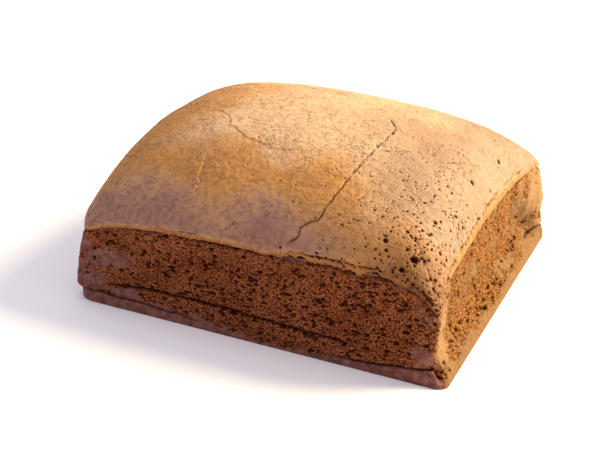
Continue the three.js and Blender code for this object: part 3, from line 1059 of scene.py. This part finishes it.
# %% New material and its nodes
def new_material(name):
    """A material with its node tree and its one shader."""
    look = bpy.data.materials.new(name)
    look.use_nodes = True
    tree = look.node_tree
    shader = next(node for node in tree.nodes if node.type == "BSDF_PRINCIPLED")
    return look, tree, shader


def add(tree, kind, **values):
    """Adds a node and sets the values on it that are named."""
    node = tree.nodes.new(kind)
    for key, value in values.items():
        setattr(node, key, value)
    return node


def mark_node(tree, name):
    """A mark of the points, for the material to read."""
    return add(tree, "ShaderNodeAttribute", attribute_name=name).outputs["Fac"]


# %% [markdown]
# ## Sharing out colours
# Two colours are mixed by a share, which may be a plain number or come from noise or a mark. A
# share is made by stretching a range softly to the limits that the finish needs.


# %% Mix colours and stretch a range
def mix(tree, share, first, second):
    """Mixes two colours; each may be a colour or a socket, and the share a number or a socket."""
    node = add(tree, "ShaderNodeMix", data_type="RGBA")
    sockets = (node.inputs[0], node.inputs[6], node.inputs[7])  # factor, A and B of a colour mix
    for socket, value in zip(sockets, (share, first, second)):
        if isinstance(value, bpy.types.NodeSocket):
            tree.links.new(value, socket)
        else:
            socket.default_value = (*value, 1.0) if isinstance(value, tuple) else value
    return node.outputs[2]


def stretch_range(tree, value, low_in, high_in, low_out=0.0, high_out=1.0):
    """Takes one range of a value softly to another range."""
    node = add(tree, "ShaderNodeMapRange", interpolation_type="SMOOTHSTEP")
    tree.links.new(value, node.inputs["Value"])
    names = ("From Min", "From Max", "To Min", "To Max")
    for name, amount in zip(names, (low_in, high_in, low_out, high_out)):
        node.inputs[name].default_value = amount
    return node.outputs["Result"]


def mark_share(tree, mark, full, bare=0):
    """A share that is bare where the mark is 0 and full where the mark is 1."""
    return stretch_range(tree, mark_node(tree, mark), 0, 1, bare, full)


def times(tree, first, second):
    """One share times another."""
    node = add(tree, "ShaderNodeMath", operation="MULTIPLY")
    tree.links.new(first, node.inputs[0])
    tree.links.new(second, node.inputs[1])
    return node.outputs[0]


# %% [markdown]
# ## Grain in the material
# Grain finer than the mesh is left to the material. It is laid out in the object's own space, so it
# stays on the cake when the cake moves. Where a noise passes through its middle value it also gives
# hairlines, like those of a dried skin.


# %% Noise and hairlines
def grain_node(tree, scale, detail=3.0, stretch=(1, 1, 1)):
    """Noise in the object's own space; scale is in spots to a metre."""
    place_node = add(tree, "ShaderNodeTexCoord")
    mapping = add(tree, "ShaderNodeMapping")
    mapping.inputs["Scale"].default_value = stretch
    tree.links.new(place_node.outputs["Object"], mapping.inputs["Vector"])
    noise = add(tree, "ShaderNodeTexNoise")
    noise.inputs["Scale"].default_value = scale
    noise.inputs["Detail"].default_value = detail
    tree.links.new(mapping.outputs["Vector"], noise.inputs["Vector"])
    return noise.outputs["Fac"]


def line_node(tree, scale, width, detail=3.0):
    """Thin wandering lines, where a noise passes through its middle value."""
    away = add(tree, "ShaderNodeMath", operation="SUBTRACT")
    tree.links.new(grain_node(tree, scale, detail), away.inputs[0])
    away.inputs[1].default_value = 0.5
    gap = add(tree, "ShaderNodeMath", operation="ABSOLUTE")
    tree.links.new(away.outputs[0], gap.inputs[0])
    return stretch_range(tree, gap.outputs[0], 0, width, 1, 0)


# %% [markdown]
# ## Bumps
# The finest dents only turn the light, and no outline shows them, so bump nodes are enough.


# %% Bumps on top of each other
def bump(tree, shader, heights):
    """Adds bumps on top of each other; heights are (socket, depth in metres)."""
    last = None
    for value, depth in heights:
        node = add(tree, "ShaderNodeBump")
        node.inputs["Strength"].default_value = 1.0
        node.inputs["Distance"].default_value = depth
        tree.links.new(value, node.inputs["Height"])
        if last is not None:
            tree.links.new(last, node.inputs["Normal"])
        last = node.outputs["Normal"]
    tree.links.new(last, shader.inputs["Normal"])


# %% [markdown]
# ## The crust's colours
# Sugar and egg brown into tan and gold tones, and the gold is partly painted shade away from the key
# lamp. A ruddy tone is painted where the key lamp falls, to tone down its light, and the violet brown
# of the front shoulder is painted sheen and shade. The rim is toasted, the front right corner is
# scorched, and holes are the darkest.

# %% Colours of the crust
CRUST_TAN = (0.510, 0.325, 0.188)
# gold, partly painted shade on the sides away from the key lamp
CRUST_GOLD_AND_SHADE = (0.405, 0.180, 0.045)
# painted sheen and shade of the front shoulder
CRUST_PAINTED_SHEEN = (0.210, 0.086, 0.074)
# painted ruddy tone that tones down and tints the key lamp's light
CRUST_PAINTED_KEY_TINT = (0.268, 0.158, 0.096)
CRUST_RIM = (0.330, 0.120, 0.028)
CRUST_BROWN = (0.200, 0.085, 0.034)
CRUST_DARK = (0.060, 0.012, 0.004)
CRUST_SCORCH = (0.130, 0.044, 0.008)
CRUST_CRACK = (0.120, 0.038, 0.009)
crust_look, tree, shader = new_material("browned crust")

# %% [markdown]
# ## The crust's tones by place
# The marks lay the tones over each other, starting with the widest. Clouds of a few centimetres
# keep each tone from being even.

# %% Tones of the crust
clouds = stretch_range(tree, grain_node(tree, 28), 0.35, 0.68)
# the ruddy tone is painted light, and the gold is partly painted shade
colour = mix(tree, mark_node(tree, "painted_key_tint"), CRUST_TAN, CRUST_PAINTED_KEY_TINT)
colour = mix(tree, mark_node(tree, "gold_and_shade"), colour, CRUST_GOLD_AND_SHADE)
colour = mix(tree, stretch_range(tree, clouds, 0, 1, 0, 0.22), colour, CRUST_BROWN)
colour = mix(tree, mark_node(tree, "rim"), colour, CRUST_RIM)
colour = mix(tree, mark_share(tree, "scorch", 0.85), colour, CRUST_SCORCH)
colour = mix(tree, mark_share(tree, "wrinkle", 0.28), colour, CRUST_BROWN)

# %% [markdown]
# ## Flecks and hairlines
# Up close the crust has brown flecks of about two millimetres and thin brown hairlines. Both are
# weaker under the painted ruddy tone and the painted violet sheen. The painted sheen and shade lie
# over them and have dark flecks too.

# %% Flecks and hairlines of the crust
flecks = stretch_range(tree, grain_node(tree, 420, 4.0), 0.42, 0.66)
fleck_share = stretch_range(tree, flecks, 0, 1, 0, 0.34)
fleck_share = times(tree, fleck_share, mark_share(tree, "painted_key_tint", 0.45, 1))
colour = mix(tree, fleck_share, colour, CRUST_BROWN)
line_places = stretch_range(tree, grain_node(tree, 75), 0.42, 0.60)
lines = times(tree, line_node(tree, 150, 0.026), line_places)
lines = times(tree, lines, stretch_range(tree, mark_node(tree, "painted_sheen"), 0, 0.4, 1, 0.1))
colour = mix(tree, stretch_range(tree, lines, 0, 1, 0, 0.24), colour, CRUST_BROWN)
# painted violet sheen and shade of the front shoulder, with dark flecks
colour = mix(tree, mark_share(tree, "painted_sheen", 0.80), colour, CRUST_PAINTED_SHEEN)
painted_sheen_flecks = times(tree, stretch_range(tree, flecks, 0, 1, 0, 0.30), mark_node(tree, "painted_sheen"))
colour = mix(tree, painted_sheen_flecks, colour, CRUST_SCORCH)

# %% [markdown]
# ## Holes, cracks and the crust's surface
# Holes and cracks are dark inside, as little light gets in, and a hole has no gleam. The skin
# around them is half matt, and its three bumps are wrinkles, fine grain and sunk hairlines.

# %% Holes, cracks and surface of the crust
hole_share = stretch_range(tree, mark_node(tree, "hole"), 0.12, 0.55, 0, 0.97)
colour = mix(tree, hole_share, colour, CRUST_DARK)
crack_share = stretch_range(tree, mark_node(tree, "crack"), 0.15, 0.8, 0, 0.8)
colour = mix(tree, crack_share, colour, CRUST_CRACK)
tree.links.new(colour, shader.inputs["Base Color"])
crust_rough = stretch_range(tree, flecks, 0, 1, 0.55, 0.72)
tree.links.new(crust_rough, shader.inputs["Roughness"])
gleam = stretch_range(tree, mark_node(tree, "hole"), 0.1, 0.5, 0.22, 0.0)
tree.links.new(gleam, shader.inputs["Specular IOR Level"])
fine = grain_node(tree, 900, 3.0)
wrinkles = grain_node(tree, 300, 4.0, (1.0, 1.1, 1.0))
sunk_lines = stretch_range(tree, lines, 0, 1, 1, 0)
bump(tree, shader, [(wrinkles, 0.00045), (fine, 0.00042), (sunk_lines, 0.0004)])
print(crust_look.name, "has", len(tree.nodes), "nodes")

# %% [markdown]
# ## The crumb's colours
# Torn crumb is a warm mid brown with orange specks where thin walls of sponge let light through.
# The skin that stayed on is lighter, and its grey violet tint is a painted sheen. On the right wall
# all of them are painted warmer, as painted light where the key lamp falls.

# %% Colours of the crumb
CRUMB_LIGHT = (0.310, 0.094, 0.042)
CRUMB_BROWN = (0.205, 0.055, 0.023)
CRUMB_ORANGE = (0.500, 0.145, 0.026)
# painted shade inside pores and creases
CRUMB_HOLLOW_SHADE = (0.020, 0.003, 0.0015)
# skin colour with a painted grey violet sheen
SKIN_WITH_SHEEN = (0.245, 0.105, 0.088)
SKIN_SHADE = (0.140, 0.050, 0.034)
# painted light: skin, crumb and hollows as lit by the key lamp on the right wall
LIT_SIDE_SKIN = (0.215, 0.110, 0.037)
LIT_SIDE_CRUMB = (0.280, 0.130, 0.036)
LIT_SIDE_HOLLOW_SHADE = (0.045, 0.008, 0.002)
PALE_SKIN = (0.360, 0.192, 0.088)
TOAST = (0.300, 0.095, 0.022)
crumb_look, tree, shader = new_material("torn crumb")

# %% [markdown]
# ## The crumb's tones
# Light and dark brown change in soft clouds. Specks as small as the sponge's own walls lie over
# them, and the toasted crumb is golden.

# %% Tones of the crumb
clouds = stretch_range(tree, grain_node(tree, 60), 0.35, 0.68)
specks = stretch_range(tree, grain_node(tree, 1300, 2.0), 0.46, 0.62)
colour = mix(tree, clouds, CRUMB_BROWN, CRUMB_LIGHT)
# painted light: warmer crumb on the walls that face the key lamp
colour = mix(tree, mark_share(tree, "lit_side", 0.8), colour, LIT_SIDE_CRUMB)
speck_share = stretch_range(tree, specks, 0, 1, 0, 0.6)
speck_share = times(tree, speck_share, mark_share(tree, "lit_side", 0.4, 1))
colour = mix(tree, speck_share, colour, CRUMB_ORANGE)
colour = mix(tree, mark_share(tree, "toast", 0.8), colour, TOAST)

# %% [markdown]
# ## Skin and fine pores
# The skin's colour is cloudy too, and pale in places. Under it lie the finest pores, which are too
# small for the mesh. Their shade is painted as dark dots, and they are also pressed in as a bump.

# %% Skin and fine pores
skin_mark = mark_node(tree, "skin")
skin_cloud = stretch_range(tree, grain_node(tree, 260, 4.0), 0.36, 0.64)
# the skin's grey violet tint is a painted sheen
skin_with_sheen = mix(tree, skin_cloud, SKIN_WITH_SHEEN, SKIN_SHADE)
# painted light: warmer skin on the walls that face the key lamp
skin_with_sheen = mix(tree, mark_share(tree, "lit_side", 0.85), skin_with_sheen, LIT_SIDE_SKIN)
skin_with_sheen = mix(tree, mark_node(tree, "pale"), skin_with_sheen, PALE_SKIN)
# painted shade inside the pores, a little lighter on the walls that face the key lamp
hollow_shade = mix(tree, mark_node(tree, "lit_side"), CRUMB_HOLLOW_SHADE, LIT_SIDE_HOLLOW_SHADE)
fine_pores = stretch_range(tree, grain_node(tree, 1400, 2.0, (1.0, 1.0, 1.7)), 0.50, 0.60)
# painted shade of the finest pores
colour = mix(tree, stretch_range(tree, fine_pores, 0, 1, 0, 0.82), colour, hollow_shade)
skin_share = stretch_range(tree, skin_mark, 0, 1, 0, 0.9)
colour = mix(tree, skin_share, colour, skin_with_sheen)

# %% [markdown]
# ## Pores, creases and the crumb's surface
# Pores and creases get their painted shade last. Crumb is matt, and skin has a trace of gleam.

# %% Pores, creases and surface of the crumb
# painted shade in the pores
pore_share = stretch_range(tree, mark_node(tree, "pore"), 0.2, 0.85, 0, 0.88)
colour = mix(tree, pore_share, colour, hollow_shade)
# painted shade in the creases, under the lip and in the torn corner
crease_share = stretch_range(tree, mark_node(tree, "crease"), 0.25, 0.9, 0, 0.8)
colour = mix(tree, crease_share, colour, CRUMB_HOLLOW_SHADE)
tree.links.new(colour, shader.inputs["Base Color"])
crumb_rough = stretch_range(tree, skin_mark, 0, 1, 0.85, 0.66)
tree.links.new(crumb_rough, shader.inputs["Roughness"])
gleam = stretch_range(tree, mark_node(tree, "pore"), 0.1, 0.6, 0.08, 0.0)
tree.links.new(gleam, shader.inputs["Specular IOR Level"])
hollow = stretch_range(tree, fine_pores, 0, 1, 1, 0)
bump(tree, shader, [(grain_node(tree, 500, 3.0), 0.0007), (hollow, 0.0006)])
print(crumb_look.name, "has", len(tree.nodes), "nodes")

# %% [markdown]
# ## Give the pieces their materials
# The crust gets its own material. The walls and the underside share the crumb's, as the underside
# is all skin. The frame is told which body each piece rides on, and the plain solid is hidden.


# %% Give the pieces their materials
def adopt(piece, look):
    """Gives a finished piece its material and tells the frame about it."""
    piece.data.materials.append(look)
    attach(piece, "root")
    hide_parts(NODE)


adopt(crust, crust_look)
for piece in walls:
    adopt(piece, crumb_look)
adopt(foot, crumb_look)
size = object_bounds()
print("cake measures", [round((size[1][i] - size[0][i]) / MM, 1) for i in range(3)], "mm")

# %% [markdown]
# ## The picture
# The cake stands on a white floor. A large warm light behind it on the right makes the right wall
# bright and the crust gleam, and a weaker cool one in front fills the shade.

# %% Floor
FLOOR_SIZE = 12.0  # in metres, so that its border is never in the picture
bpy.ops.object.select_all(action="DESELECT")
bpy.ops.mesh.primitive_plane_add(size=FLOOR_SIZE, location=(0, 0, 0))
floor = bpy.context.object
floor.name = "floor"
floor_look, tree, shader = new_material("white floor")
shader.inputs["Base Color"].default_value = (0.92, 0.92, 0.92, 1)
shader.inputs["Roughness"].default_value = 0.7
floor.data.materials.append(floor_look)
print("the floor is staged")

# %% [markdown]
# ## The light all round
# A plain bright studio gives the shade a soft light from everywhere. It is a touch violet, which
# keeps the shaded front wall from looking yellow.

# %% Light all round
bpy.context.scene.view_settings.view_transform = "Standard"
world = bpy.data.worlds.new("studio")
bpy.context.scene.world = world
world.use_nodes = True
background = world.node_tree.nodes["Background"]
background.inputs["Color"].default_value = (0.98, 0.91, 1.0, 1)
background.inputs["Strength"].default_value = 0.62
print("world light", background.inputs["Strength"].default_value)

# %% [markdown]
# ## The lamps
# Each lamp is a soft disk that looks at the cake. The key lamp is behind on the right, the fill
# lamp is in front on the left, and a weak one hangs overhead.


# %% Lamps
def area_light(name, position, aim, size, watts, colour):
    """A round soft lamp that looks from its position to its aim, in metres."""
    bpy.ops.object.light_add(type="AREA", location=position)
    lamp = bpy.context.object
    lamp.name = name
    lamp.data.shape = "DISK"
    lamp.data.size = size
    lamp.data.energy = watts
    lamp.data.color = colour
    lamp.rotation_euler = (Vector(aim) - Vector(position)).to_track_quat("-Z", "Y").to_euler()


area_light("key", (1.07, 0.90, 0.90), (0, 0, 0.04), 1.1, 96, (1.0, 0.88, 0.56))
area_light("overhead", (-0.2, -0.1, 1.5), (0, 0, 0.03), 1.4, 5, (1.0, 0.97, 0.95))
area_light("fill", (-0.9, -0.9, 0.9), (0, 0, 0.03), 1.2, 3, (0.70, 0.74, 1.0))
print(len(bpy.data.lights), "lamps")

# %% [markdown]
# ## The camera
# The camera looks down at the front wall from a little to the right, through a long lens. It is
# placed by the point of the floor that it looks at, its distance, and its pitch, yaw and roll.

# %% Camera
LENS = 72.0
SENSOR = 36.0
TARGET = Vector((-33.96, 38.04, 0.0))
DISTANCE = 714.73
PITCH, YAW, ROLL = (math.radians(a) for a in (24.441, 22.830, -2.294))
back = Vector((math.sin(YAW) * math.cos(PITCH), -math.cos(YAW) * math.cos(PITCH), math.sin(PITCH)))
level_right = Vector((math.cos(YAW), math.sin(YAW), 0.0))
level_up = back.cross(level_right)
right = level_right * math.cos(ROLL) - level_up * math.sin(ROLL)
up = level_up * math.cos(ROLL) + level_right * math.sin(ROLL)
eye = TARGET + back * DISTANCE + Vector(SHIFT)
bpy.ops.object.camera_add(location=eye * MM)
camera = bpy.context.object
camera.data.lens = LENS
camera.data.sensor_width = SENSOR
turn = Matrix((right, up, back)).transposed()
camera.rotation_euler = turn.to_euler()
bpy.context.scene.camera = camera
print("camera at", [round(value, 3) for value in camera.location], "m")
